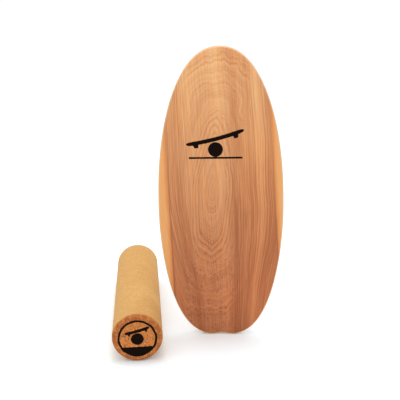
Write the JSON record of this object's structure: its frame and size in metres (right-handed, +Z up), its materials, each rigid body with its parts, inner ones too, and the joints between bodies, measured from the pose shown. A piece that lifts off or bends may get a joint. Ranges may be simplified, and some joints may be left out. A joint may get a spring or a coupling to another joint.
{
  "type": "balance board with roller",
  "caption": "Oval laminated wooden balance board deck standing on its tail, with stop bars on its underside, and a solid cork roller lying beside it.",
  "frame": {"origin": "on the floor, under the middle of the whole set's bounding box", "axes": "+Z up, from the deck's tail to its nose; -Y is the way the deck's standing face looks; +Y is the side of its underside"},
  "size_m": [0.4758, 0.5094, 0.72],
  "materials": {
    "face_veneer": "satin lacquer",
    "core_long_grain": "sealed edge",
    "core_cross_grain": "sealed edge",
    "back_veneer": "satin lacquer",
    "stop_hardwood": "oiled",
    "screw_steel": "satin",
    "cork": "sanded agglomerated cork"
  },
  "bodies": {
    "deck": {"face_veneer": "face_veneer", "core_ply_1": "core_long_grain", "core_ply_2": "core_cross_grain", "core_ply_3": "core_long_grain", "core_ply_4": "core_cross_grain", "core_ply_5": "core_long_grain", "core_ply_6": "core_cross_grain", "core_ply_7": "core_long_grain", "back_veneer": "back_veneer", "nose_stop": "stop_hardwood", "tail_stop": "stop_hardwood", "nose_stop_screw_1": "screw_steel", "nose_stop_screw_2": "screw_steel", "nose_stop_screw_3": "screw_steel", "nose_stop_screw_4": "screw_steel", "tail_stop_screw_1": "screw_steel", "tail_stop_screw_2": "screw_steel", "tail_stop_screw_3": "screw_steel", "tail_stop_screw_4": "screw_steel"},
    "roller": {"cork_roller": "cork"}
  },
  "joints": [
    {"name": "roller_spin", "type": "hinge", "parent": "deck", "child": "roller", "pos_m": [-0.11012, -0.24757, 0.06], "axis": [-0.1392, 0.9903, 0], "continuous": true}
  ]
}
